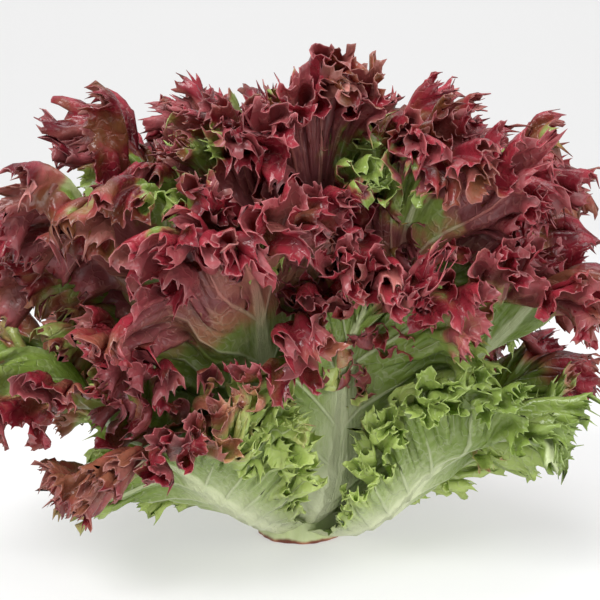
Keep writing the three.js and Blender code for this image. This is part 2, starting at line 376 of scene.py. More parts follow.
class LeafForm:
    """The middle surface of one leaf, in millimetres, numbered from 0 on the outside to the heart."""

    def __init__(self, number, count):
        self.number = number
        self.depth = number / (count - 1)
        self.size = 1 + SIZE_SPREAD * (draw(number) - 0.5)
        self.length = along(LEAF_LENGTHS, self.depth)
        self.half_width = along(LEAF_HALF_WIDTHS, self.depth)
        self.root_half_width = along(ROOT_HALF_WIDTHS, self.depth)
        self.wave_height = along(WAVE_HEIGHTS, self.depth)
        self.azimuth = (FIRST_LEAF_AZIMUTH_DEG + number * SPIRAL_STEP_DEG) * RADIANS
        self.profile = self.rib_profile()

    def rib_profile(self):
        """Radius, height and slope at even steps along the rib."""
        depth = self.depth
        slope_lists = (ROOT_SLOPES_DEG, MIDDLE_SLOPES_DEG, TIP_SLOPES_DEG)
        root, middle, tip = (along(slopes, depth) * RADIANS for slopes in slope_lists)
        z = LOWEST_ROOT + (HIGHEST_ROOT - LOWEST_ROOT) * depth
        r = STEM_FOOT_RADIUS + (STEM_TOP_RADIUS - STEM_FOOT_RADIUS) * (z / STEM_HEIGHT) + STEM_GAP
        rows = [(r, z, root)]
        step = self.length / PROFILE_STEPS
        for i in range(1, int(PROFILE_STEPS * PROFILE_OVERRUN) + 1):
            t = (i - 0.5) / PROFILE_STEPS
            slope = root * (1 - t) * (1 - 2 * t) + middle * 4 * t * (1 - t) + tip * t * (2 * t - 1)
            r += step * math.cos(slope)
            z += step * math.sin(slope)
            rows.append((r, z, slope))
        return np.array(rows)

    def margin(self, side):
        """The margin's flat place: side is -1 at one root corner, 0 at the tip and 1 at the other corner."""
        q = np.abs(side)
        turn = np.minimum(q / SHOULDER_SHARE, 1) * (math.pi / 2)
        rise = 1 - np.clip((q - SHOULDER_SHARE) / (1 - SHOULDER_SHARE), 0, 1)
        upper_y = self.size * self.length * (SHOULDER_HEIGHT + (1 - SHOULDER_HEIGHT) * np.cos(turn))
        upper_x = self.size * self.half_width * np.sin(turn)
        widening = self.size * self.half_width - self.root_half_width
        lower_x = self.root_half_width + widening * smooth(0, 1, rise)
        lower_y = self.size * self.length * SHOULDER_HEIGHT * rise
        above = q < SHOULDER_SHARE
        return np.sign(side) * np.where(above, upper_x, lower_x), np.where(above, upper_y, lower_y)

    def vein_start(self, side):
        """How far up the rib the side vein to this place on the margin starts."""
        return self.length * HIGHEST_VEIN * np.maximum(1 - np.abs(side), 0) ** VEIN_CROWDING

    def vein_share(self, side):
        """What is left of the side vein where the margin is cut into broad lobes."""
        vein = side * SIDE_VEINS
        gap = np.abs(vein - np.round(vein))
        depth = DEEPEST_CUT * (CUT_EVENNESS + (1 - CUT_EVENNESS) * wobble(vein * CUT_PITCH, self.number))
        depth = depth * rising(CUT_AT_TIP, *CUT_FADES_IN, np.abs(side))
        left, tip, right = TRIMS.get(self.number, (0, 0, 0))
        trim = np.interp(side, TRIM_PLACES, (0, left, tip, right, 0))
        return (1 - trim) * (1 - depth * smooth(CUT_FROM, 0.5, gap) * smooth(0, CUTS_END, 1 - np.abs(side)))

    def vein_length(self, side):
        """How long the side vein to this place on the margin is, and never less than the shortest."""
        x, y = self.margin(side)
        return np.maximum(np.hypot(x, y - self.vein_start(side)) * self.vein_share(side), SHORTEST_VEIN)

    def flat(self, side, out):
        """A place on the flat blade: out is 0 on the rib and 1 on the margin, along a side vein."""
        x, y = self.margin(side)
        start = self.vein_start(side)
        out = out * self.vein_share(side)
        return x * out, start + (y - start) * out

    def head_wave(self, turn, height, share):
        """How far the waves that the whole head shares move the blade."""
        drift = WAVE_DRIFT * self.number
        first = np.sin(WAVES_ROUND * turn + height / WAVE_PITCH + drift)
        second = np.sin((WAVES_ROUND + EXTRA_WAVES) * turn - height / WAVE_PITCH - drift)
        third = np.sin(2 * WAVES_ROUND * turn - height / WAVE_PITCH + drift)
        total = WAVE_SHARES[0] * first + WAVE_SHARES[1] * second + WAVE_SHARES[2] * third
        return self.wave_height * smooth(WAVES_BEGIN, 1, share) * total

    def point(self, side, out, waved=True):
        """Points of the middle surface in metres, with the waves that the head shares or without them."""
        x, y = self.flat(side, out)
        y = y - ROOT_SINK * (1 - smooth(0, ROOT_SINK_FADE, y))
        place = np.minimum(y / self.length * PROFILE_STEPS, len(self.profile) - 1.001)
        i = np.maximum(place.astype(int), 0)
        f = (place - i)[:, None]
        radius, height, slope = (self.profile[i] * (1 - f) + self.profile[i + 1] * f).T
        most = MOST_WRAP_DEG * RADIANS
        turn = self.azimuth + most * np.tanh(x / (radius * most))
        share = y / self.length
        flare = FLARE * smooth(0.5, 1, out) * smooth(*FLARE_FADES_IN, share)
        outward = flare + (self.head_wave(turn, height, share) if waved else 0)
        r, z = settle(turn, radius + outward * np.sin(slope), height - outward * np.cos(slope))
        return np.column_stack((r * np.sin(turn), -r * np.cos(turn), z)) * MM


def make_mesh(name, points, quads, triangles):
    """A smooth-shaded mesh from arrays of points and faces."""
    mesh = bpy.data.meshes.new(name)
    mesh.vertices.add(len(points))
    mesh.vertices.foreach_set("co", np.ascontiguousarray(points, np.float32).ravel())
    corners = np.concatenate((quads.ravel(), triangles.ravel())).astype(np.int32)
    triangle_starts = 4 * len(quads) + 3 * np.arange(len(triangles))
    starts = np.concatenate((4 * np.arange(len(quads)), triangle_starts)).astype(np.int32)
    mesh.loops.add(len(corners))
    mesh.loops.foreach_set("vertex_index", corners)
    mesh.polygons.add(len(starts))
    mesh.polygons.foreach_set("loop_start", starts)
    mesh.update(calc_edges=True)
    mesh.shade_smooth()
    return mesh


def mesh_points(mesh):
    points = np.empty(len(mesh.vertices) * 3, np.float32)
    mesh.vertices.foreach_get("co", points)
    return points.reshape(-1, 3).astype(float)


def store(mesh, name, values):
    """A named attribute on the mesh's points: one number or one vector for each."""
    values = np.asarray(values, np.float32)
    kind = ("FLOAT", "value") if values.ndim == 1 else ("FLOAT_VECTOR", "vector")
    attribute = mesh.attributes.new(name, kind[0], "POINT")
    attribute.data.foreach_set(kind[1], values.ravel())


def add_piece(name, mesh):
    piece = bpy.data.objects.new(name, mesh)
    bpy.context.scene.collection.objects.link(piece)
    return piece


class Wire:
    """An output socket of a node tree. Python's operators on it add Math nodes to the tree."""

    def __init__(self, net, socket):
        self.net = net
        self.socket = socket

    def output(self, name):
        return Wire(self.net, self.socket.node.outputs[name])

    def math(self, operation, *values):
        sockets = dict(enumerate((self, *values)))
        return self.net.node("ShaderNodeMath", {"operation": operation}, sockets)

    def __add__(self, other):
        return self.math("ADD", other)

    def __sub__(self, other):
        return self.math("SUBTRACT", other)

    def __rsub__(self, other):
        return self.net.node("ShaderNodeMath", {"operation": "SUBTRACT"}, {0: other, 1: self})

    def __mul__(self, other):
        return self.math("MULTIPLY", other)

    def __truediv__(self, other):
        return self.math("DIVIDE", other)

    def __rtruediv__(self, other):
        return self.net.node("ShaderNodeMath", {"operation": "DIVIDE"}, {0: other, 1: self})

    def __abs__(self):
        return self.math("ABSOLUTE")

    __radd__ = __add__
    __rmul__ = __mul__

    def sine(self):
        return self.math("SINE")

    def cosine(self):
        return self.math("COSINE")

    def at_least(self, least):
        return self.math("MAXIMUM", least)

    def at_most(self, most):
        return self.math("MINIMUM", most)

    def from_whole(self):
        """How far the value is from the nearest whole number."""
        return abs((self + 0.5).math("FRACT") - 0.5)

    def between(self, low, high):
        """Rises smoothly from 0 at low to 1 at high. Low may be the greater."""
        settings = {"interpolation_type": "SMOOTHSTEP"}
        if low < high:
            climbing = {"Value": self, "From Min": low, "From Max": high}
            return self.net.node("ShaderNodeMapRange", settings, climbing)
        falling = {"Value": self, "From Min": high, "From Max": low, "To Min": 1.0, "To Max": 0.0}
        return self.net.node("ShaderNodeMapRange", settings, falling)


class Net:
    """A node tree that nodes are added to, for a material or for geometry."""

    def __init__(self, tree):
        self.tree = tree

    def node(self, kind, settings=None, sockets=None, output=0):
        """Adds a node, with its settings first and then its sockets' values or wires."""
        made = self.tree.nodes.new(kind)
        for name, value in (settings or {}).items():
            setattr(made, name, value)
        for name, value in (sockets or {}).items():
            if isinstance(value, Wire):
                self.tree.links.new(value.socket, made.inputs[name])
            else:
                made.inputs[name].default_value = value
        return Wire(self, made.outputs[output] if made.outputs else None)

    def mix(self, share, first, second):
        """Blends two colours, of which either may be a wire."""
        first, second = (c if isinstance(c, Wire) else (*c, 1) for c in (first, second))
        settings = {"data_type": "RGBA"}
        sockets = {0: share, 6: first, 7: second}
        return self.node("ShaderNodeMix", settings, sockets, output=2)

    def scaled(self, vector, share):
        return self.node("ShaderNodeVectorMath", {"operation": "SCALE"}, {"Vector": vector, "Scale": share})

    def vector(self, operation, *values):
        return self.node("ShaderNodeVectorMath", {"operation": operation}, dict(enumerate(values)))

    def distance(self, first, second):
        settings = {"operation": "DISTANCE"}
        return self.node("ShaderNodeVectorMath", settings, {0: first, 1: second}, output="Value")

    def named(self, attribute, kind="FLOAT"):
        """What a geometry tree's sheet knows of its points under this name."""
        return self.node("GeometryNodeInputNamedAttribute", {"data_type": kind}, {"Name": attribute})

    def uneven(self, place, seed):
        """Noise along a line, mostly from -1 to 1."""
        sockets = {"W": place + seed, "Scale": 1.0, "Detail": 0.0}
        return (self.node("ShaderNodeTexNoise", {"noise_dimensions": "1D"}, sockets) - 0.5) * 3


def new_geometry_tree(name, inputs):
    """A geometry tree with a sheet in, its named numbers with their defaults, a material and a sheet out."""
    tree = bpy.data.node_groups.new(name, "GeometryNodeTree")
    face = tree.interface
    face.new_socket("Sheet", in_out="INPUT", socket_type="NodeSocketGeometry")
    for label, value in inputs.items():
        socket = face.new_socket(label, in_out="INPUT", socket_type="NodeSocketFloat")
        socket.default_value = value
    face.new_socket("Material", in_out="INPUT", socket_type="NodeSocketMaterial")
    face.new_socket("Sheet", in_out="OUTPUT", socket_type="NodeSocketGeometry")
    return tree


def set_input(modifier, label, value):
    """Sets a geometry tree's input by its socket's identifier."""
    for item in modifier.node_group.interface.items_tree:
        if item.item_type == "SOCKET" and item.in_out == "INPUT" and item.name == label:
            modifier[item.identifier] = value


def evaluated_mesh(piece):
    """The piece's mesh with its modifiers' work in it, as a plain mesh."""
    depsgraph = bpy.context.evaluated_depsgraph_get()
    return bpy.data.meshes.new_from_object(piece.evaluated_get(depsgraph), depsgraph=depsgraph)


class Waves:
    """One set of waves along the margin, with the ways that the waved sheet runs and faces."""

    def __init__(self, net, start, kind, seed, sideways, across):
        spread = net.named("along") / start.output(f"{kind} Length")
        depth = (1 - net.named("margin") / start.output(f"{kind} Band")).at_least(0).at_most(1)
        frill = depth * depth * net.named("free")
        place = net.node("GeometryNodeInputPosition")
        scale = WANDER_PITCH / MM / start.output(f"{kind} Length")
        noise_sockets = {"Vector": place, "W": seed, "Scale": scale, "Detail": 0.0}
        wander = net.node("ShaderNodeTexNoise", {"noise_dimensions": "4D"}, noise_sockets) - 0.5
        phase = TURN * spread + wander * start.output(f"{kind} Wander")
        uneven = 1 + net.uneven(spread * HEIGHT_PITCH, seed + HEIGHT_SEED) * HEIGHT_UNEVENNESS
        height = start.output(f"{kind} Height") * frill * uneven
        sway = height * start.output("Overhang")
        rise = net.scaled(across, phase.sine() * height)
        lean = net.scaled(sideways, (2 * phase).sine() * sway * -1)
        self.offset = net.vector("ADD", rise, lean)
        pace = TURN / MM / start.output(f"{kind} Length")
        climb = phase.cosine() * height * pace
        run = 1 - (2 * phase).cosine() * sway * 2 * pace
        along_wave = net.vector("ADD", net.scaled(sideways, run), net.scaled(across, climb))
        off_wave = net.vector("SUBTRACT", net.scaled(across, run), net.scaled(sideways, climb))
        self.sideways = net.vector("NORMALIZE", along_wave)
        self.across = net.vector("NORMALIZE", off_wave)


def ruffle_tree():
    """Ruffles a leaf: quilting between its veins, blisters, a rolled margin and three sizes of waves."""
    tree = new_geometry_tree("leaf_ruffle", RUFFLE_INPUTS)
    net = Net(tree)
    start = net.node("NodeGroupInput")
    seed = start.output("Seed")
    ways = ("outwards", "sideways", "across")
    outwards, sideways, across = (net.named(name, "FLOAT_VECTOR") for name in ways)

    # Between two side veins the blade swells, and blisters rise all over it
    swell = (net.named("vein").from_whole() * math.pi).sine()
    quilt = swell * swell * start.output("Quilt Height") * net.named("rib").between(*QUILT_FROM_RIB)
    place = net.node("GeometryNodeInputPosition")
    noise_sockets = {"Vector": place, "W": seed, "Scale": 1 / start.output("Blister Size")}
    noise = net.node("ShaderNodeTexNoise", {"noise_dimensions": "4D"}, noise_sockets)
    blister = (noise - 0.5) * start.output("Blister Height") * net.named("rib").between(*BLISTERS_FROM_RIB)
    offset = net.scaled(across, blister - quilt)

    # The margin rolls over towards the outer face, round an arc
    run = (start.output("Roll Band") - net.named("margin")).at_least(0)
    uneven = net.uneven(net.named("vein") * ROLL_PITCH, seed + ROLL_SEED) * start.output("Roll Unevenness")
    full_bend = start.output("Roll Angle") / start.output("Roll Band")
    bend = (full_bend * (1 + uneven).at_least(LEAST_ROLL) * net.named("free")).at_least(LEAST_BEND)
    angle = bend * run
    offset = net.vector("ADD", offset, net.scaled(outwards, (angle.sine() / bend - run) * MM))
    offset = net.vector("ADD", offset, net.scaled(across, (1 - angle.cosine()) / bend * MM))
    rolled = net.vector("SUBTRACT", net.scaled(across, angle.cosine()), net.scaled(outwards, angle.sine()))

    # The folds stand on the pleats, and the crimps on the folds
    waves = Waves(net, start, "Pleat", seed, sideways, rolled)
    offset = net.vector("ADD", offset, waves.offset)
    for number, kind in enumerate(("Fold", "Crimp"), 1):
        waves = Waves(net, start, kind, seed + WAVES_SEED_STEP * number, waves.sideways, waves.across)
        offset = net.vector("ADD", offset, waves.offset)

    moved = {"Geometry": start.output("Sheet"), "Offset": offset}
    sheet = net.node("GeometryNodeSetPosition", None, moved)
    sheet = net.node("GeometryNodeRealizeInstances", None, {"Geometry": sheet})
    painted = {"Geometry": sheet, "Material": start.output("Material")}
    sheet = net.node("GeometryNodeSetMaterial", None, painted)
    net.node("NodeGroupOutput", None, {"Sheet": sheet})
    return tree


def spline_weights(f):
    """How much each of four neighbours counts at share f between the middle two."""
    return (
        ((2 - f) * f - 1) * f / 2,
        (3 * f - 5) * f * f / 2 + 1,
        ((4 - 3 * f) * f + 1) * f / 2,
        (f - 1) * f * f / 2,
    )


def sample(grid, row, column):
    """What a grid of vectors holds at fractional rows and columns, joined smoothly."""
    rows, columns = grid.shape[:2]
    row, column = np.clip(row, 0, rows - 1), np.clip(column, 0, columns - 1)
    i, j = row.astype(int), column.astype(int)
    total = np.zeros((len(row), 3))
    for up, row_weight in zip(range(-1, 3), spline_weights(row - i)):
        for over, column_weight in zip(range(-1, 3), spline_weights(column - j)):
            values = grid[np.clip(i + up, 0, rows - 1), np.clip(j + over, 0, columns - 1)]
            total += (row_weight * column_weight)[:, None] * values
    return total


class RuffledLeaf:
    """The middle surface of one leaf with all its waves, as a smooth grid that can be read anywhere."""

    def __init__(self, form, tree, sizes, material):
        self.form = form
        side = np.linspace(-1, 1, 2 * GRID_COLUMNS + 1)
        row = np.arange(GRID_ROWS + GRID_ROWS_BEYOND + 1)
        out = 1 - np.clip(1 - row / GRID_ROWS, 0, 1) ** GRID_CROWDING
        beyond = np.maximum(row - GRID_ROWS, 0) * GRID_STEP_BEYOND
        self.shape = (len(row), len(side))
        flat_margin = np.cumsum(np.hypot(*(np.gradient(part) for part in form.margin(side))))
        flat_margin = np.tile(flat_margin - flat_margin[GRID_COLUMNS], len(row))
        side = np.tile(side, len(row))
        vein = form.vein_length(side)
        out = np.repeat(out, self.shape[1]) + np.repeat(beyond, self.shape[1]) / vein
        ahead, behind = (form.point(side, out + step, False) for step in (OUTWARDS_STEP, -OUTWARDS_STEP))
        outwards = unit(ahead - behind)
        right, left = (form.point(side + step, out, False) for step in (SIDEWAYS_STEP, -SIDEWAYS_STEP))
        sideways = right - left
        sideways = unit(sideways - outwards * (sideways * outwards).sum(1, keepdims=True))
        flat_x, flat_y = form.flat(side, out)
        self.margin_share = flat_y.reshape(self.shape)[GRID_ROWS] / form.length
        free = smooth(0, FREE_FROM_ROOT, 1 - np.abs(side)) * smooth(0, FREE_FROM_RIB, out)
        free *= rising(LEAST_FREE_ON_SHORT_VEINS, *VEIN_GETS_LONG, vein)
        free *= rising(LEAST_FREE_LOW, *BLADE_GETS_HIGH, flat_y / form.length)

        mesh = make_mesh("grid", form.point(side, out), self.grid_quads(), np.empty((0, 3), int))
        store(mesh, "along", flat_margin)
        store(mesh, "vein", side * SIDE_VEINS)
        store(mesh, "margin", (1 - out) * vein)
        store(mesh, "rib", np.abs(flat_x))
        store(mesh, "free", free)
        store(mesh, "outwards", outwards)
        store(mesh, "sideways", sideways)
        store(mesh, "across", np.cross(sideways, outwards))
        self.grid = self.ruffled(mesh, tree, sizes, material).reshape(*self.shape, 3)
        across = np.gradient(self.grid, axis=1)
        normals = np.cross(across, np.gradient(self.grid, axis=0))
        normals[0] = normals[1]
        self.normals = unit(normals)
        self.column_width = np.linalg.norm(across, axis=2, keepdims=True)

    def grid_quads(self):
        rows, columns = self.shape
        start = (np.arange(rows - 1)[:, None] * columns + np.arange(columns - 1)).ravel()
        return np.column_stack((start + 1, start + columns + 1, start + columns, start))

    def ruffled(self, mesh, tree, sizes, material):
        """The grid's points after the ruffle tree has worked on them."""
        piece = add_piece("grid", mesh)
        modifier = piece.modifiers.new("ruffle", "NODES")
        modifier.node_group = tree
        depth = self.form.depth
        frill = along(FRILL_SHARES, depth)
        set_input(modifier, "Roll Angle", sizes.roll_angle * along(ROLL_SHARES, depth))
        set_input(modifier, "Pleat Height", sizes.pleat_height * frill)
        set_input(modifier, "Fold Height", sizes.fold_height * frill)
        set_input(modifier, "Crimp Height", sizes.crimp_height * frill)
        set_input(modifier, "Overhang", sizes.overhang)
        set_input(modifier, "Seed", SEED_STEP * self.form.number)
        set_input(modifier, "Material", material)
        result = evaluated_mesh(piece)
        points = mesh_points(result)
        bpy.data.objects.remove(piece)
        bpy.data.meshes.remove(mesh)
        bpy.data.meshes.remove(result)
        return points

    def real_sides(self):
        """The side at even steps along the ruffled margin, and the margin's mean length on one side."""
        fewer_lobes = 1 - LOW_LOBES_GROW * smooth(*LOW_LOBES, self.margin_share)
        width = self.column_width[GRID_ROWS, :, 0] * fewer_lobes
        length = np.concatenate(([0], np.cumsum((width[1:] + width[:-1]) / 2)))
        length -= length[GRID_COLUMNS]
        left, right = -length[0], length[-1]
        share = np.where(length < 0, length / left, length / right)
        return share, (left + right) / 2

    def read(self, grid, side, out):
        """What the grid holds at a side and at a share of the way from the rib to the margin."""
        vein = self.form.vein_length(side)
        inside = GRID_ROWS * (1 - np.clip(1 - out, 0, 1) ** (1 / GRID_CROWDING))
        beyond = np.maximum(out - 1, 0) * vein / GRID_STEP_BEYOND
        return sample(grid, inside + beyond, (side + 1) * GRID_COLUMNS)


def net_faces(columns):
    """The net's vertices, as columns and how far out they are, with its quads and its triangles."""
    column, out, first = [], [], []
    for row, (reach, stride) in enumerate(ROWS):
        steps = np.arange(0 if row == 0 else -columns, columns + 1, stride)
        first.append(sum(len(part) for part in column))
        column.append(steps)
        out.append(np.full(len(steps), reach))

    def vertex(row, steps):
        if row == 0:
            return np.abs(steps) // ROWS[0][1]
        return first[row] + (steps + columns) // ROWS[row][1]

    quads, triangles = [], []
    for row in range(len(ROWS) - 1):
        near, far = ROWS[row][1], ROWS[row + 1][1]
        for sign in (-1, 1):
            steps = np.arange(0, columns, near)
            start, end = vertex(row, sign * steps), vertex(row, sign * (steps + near))
            far_start, far_end = vertex(row + 1, sign * steps), vertex(row + 1, sign * (steps + near))
            if near == far:
                quad = np.column_stack((start, far_start, far_end, end))
            else:
                between = vertex(row + 1, sign * (steps + far))
                quad = np.column_stack((start, between, far_end, end))
                triangle = np.column_stack((start, far_start, between))
                triangles.append(triangle[:, ::-sign])
            quads.append(quad[:, ::-sign])
    return np.concatenate(column), np.concatenate(out), np.concatenate(quads), np.concatenate(triangles)


class LeafSheet:
    """The lobed net of one leaf: its points, its faces and what each point knows of its place on the leaf."""

    def __init__(self, form, tree, sizes, material):
        rng = np.random.default_rng(form.number)
        leaf = RuffledLeaf(form, tree, sizes, material)
        share_of_length, length = leaf.real_sides()
        lobes = 4 * round(min(length / sizes.lobe_pitch, MOST_LOBES) / 4)
        columns = lobes * LOBE_COLUMNS
        column, out, self.quads, self.triangles = net_faces(columns)

        place = column / LOBE_COLUMNS
        free = smooth(0, LOBES_END, 1 - np.abs(column) / columns)
        drift = wobble(place / LOBE_DRIFT_PITCH, form.number) * sizes.lobe_unevenness
        shifted = np.clip(place + drift * free, -lobes, lobes)
        step = column % LOBE_COLUMNS
        half_step = np.minimum(step, LOBE_COLUMNS - step)
        splay = np.array(LOBE_HALF_SPLAY)[half_step] * np.where(step > LOBE_COLUMNS / 2, -1, 1) / LOBE_COLUMNS

        grid_side = np.linspace(-1, 1, 2 * GRID_COLUMNS + 1)
        side = np.interp(shifted / lobes, share_of_length, grid_side)
        vein = form.vein_length(side)
        from_margin = (1 - out) * vein
        fade = np.clip(1 - from_margin / LOBE_FADE, 0, 1)
        side = np.interp((shifted + splay * fade * free) / lobes, share_of_length, grid_side)

        lobe_number = np.round(place).astype(int) + lobes
        lobe_size = rng.uniform(SMALLEST_LOBE, LARGEST_LOBE, 2 * lobes + 1)[lobe_number]
        tip_size = rng.uniform(SMALLEST_TIP, LARGEST_TIP, 2 * columns + 1)[column + columns]
        outline = np.array(LOBE_HALF_OUTLINE)[half_step] * tip_size - LOBE_MIDDLE
        group = sizes.group_depth / MM * wobble(TURN * place / LOBES_IN_GROUP, form.number + 0.5)
        stands_out = (sizes.lobe_depth / MM * lobe_size * outline + group) * fade
        reach_out = out + stands_out * free / vein

        self.normals = unit(leaf.read(leaf.normals, side, reach_out))
        curl = rng.uniform(-1, 1, 2 * lobes + 1)[lobe_number] * sizes.curl_height * fade**2 * free
        curl *= np.cos(TURN * half_step / LOBE_COLUMNS)
        self.points = leaf.read(leaf.grid, side, reach_out) + self.normals * curl[:, None]
        self.vein_pace = leaf.read(leaf.column_width, side, out)[:, 0] / MM * GRID_COLUMNS / SIDE_VEINS
        self.side = side
        self.vein = side * SIDE_VEINS
        self.out = out
        self.margin = from_margin
        flat_x, flat_y = form.flat(side, out)
        self.rib = np.abs(flat_x)
        self.share = flat_y / form.length


def rim_quads(quads, triangles, count):
    """Quads that join the two faces of a sheet all round its open edge."""
    edges = []
    for faces in (quads, triangles):
        for corner in range(faces.shape[1]):
            edges.append(np.column_stack((faces[:, corner], faces[:, (corner + 1) % faces.shape[1]])))
    edges = np.concatenate(edges)
    key = edges[:, 0] * count + edges[:, 1]
    reverse = edges[:, 1] * count + edges[:, 0]
    open_edges = edges[~np.isin(key, reverse)]
    start, end = open_edges.T
    return np.column_stack((end, start, start + count, end + count))


def leaf_mesh(name, form, sheet, sizes):
    """The leaf as a closed solid, with its rib and side veins raised on the outer face."""
    points = sheet.points
    normals = sheet.normals
    from_tip = np.abs(sheet.side)
    taper = RIB_THICKNESS_AT_TIP + (1 - RIB_THICKNESS_AT_TIP) * from_tip**RIB_TAPER
    rib_width = RIB_WIDTH * (RIB_WIDTH_AT_TIP + (1 - RIB_WIDTH_AT_TIP) * from_tip)
    rib = along(RIB_THICKNESSES, form.depth) * taper * np.exp(-((sheet.rib / rib_width) ** 2))
    vein_gap = np.abs(sheet.vein - np.round(sheet.vein)) * sheet.vein_pace
    vein_profile = np.exp(-((vein_gap / VEIN_WIDTH) ** 2))
    side_vein = sizes.vein_height / MM * vein_profile * (1 - sheet.out) ** VEIN_TAPER
    half = sizes.blade_thickness / 2 * rising(MARGIN_THICKNESS, 0, MARGIN_THINS_OVER, sheet.margin)
    outer = half + MM * (rib + side_vein * smooth(*VEINS_FADE_IN, from_tip))
    both = np.concatenate((points + normals * outer[:, None], points - normals * half[:, None]))
    low = both[:, 2] < FLOOR_CLEARANCE
    both[low, 2] = FLOOR_CLEARANCE * np.exp(both[low, 2] / FLOOR_CLEARANCE - 1)
    count = len(points)
    rim = rim_quads(sheet.quads, sheet.triangles, count)
    quads = np.concatenate((sheet.quads, sheet.quads[:, ::-1] + count, rim))
    triangles = np.concatenate((sheet.triangles, sheet.triangles[:, ::-1] + count))
    mesh = make_mesh(name, both, quads, triangles)
    for attribute in ("vein", "vein_pace", "out", "margin", "rib", "share"):
        store(mesh, attribute, np.tile(getattr(sheet, attribute), 2))
    store(mesh, "upper", np.repeat((0.0, 1.0), count))
    store(mesh, "depth", np.full(2 * count, form.depth))
    return mesh


def shown_colour(red, green, blue):
    """A colour given as 8-bit screen values, turned into Blender's linear numbers."""
    shares = (value / 255 for value in (red, green, blue))
    return tuple(c / 12.92 if c <= 0.04045 else ((c + 0.055) / 1.055) ** 2.4 for c in shares)


def new_material(name):
    """A material with no nodes yet, and the net that adds them."""
    material = bpy.data.materials.new(name)
    material.use_nodes = True
    material.node_tree.nodes.clear()
    return material, Net(material.node_tree)


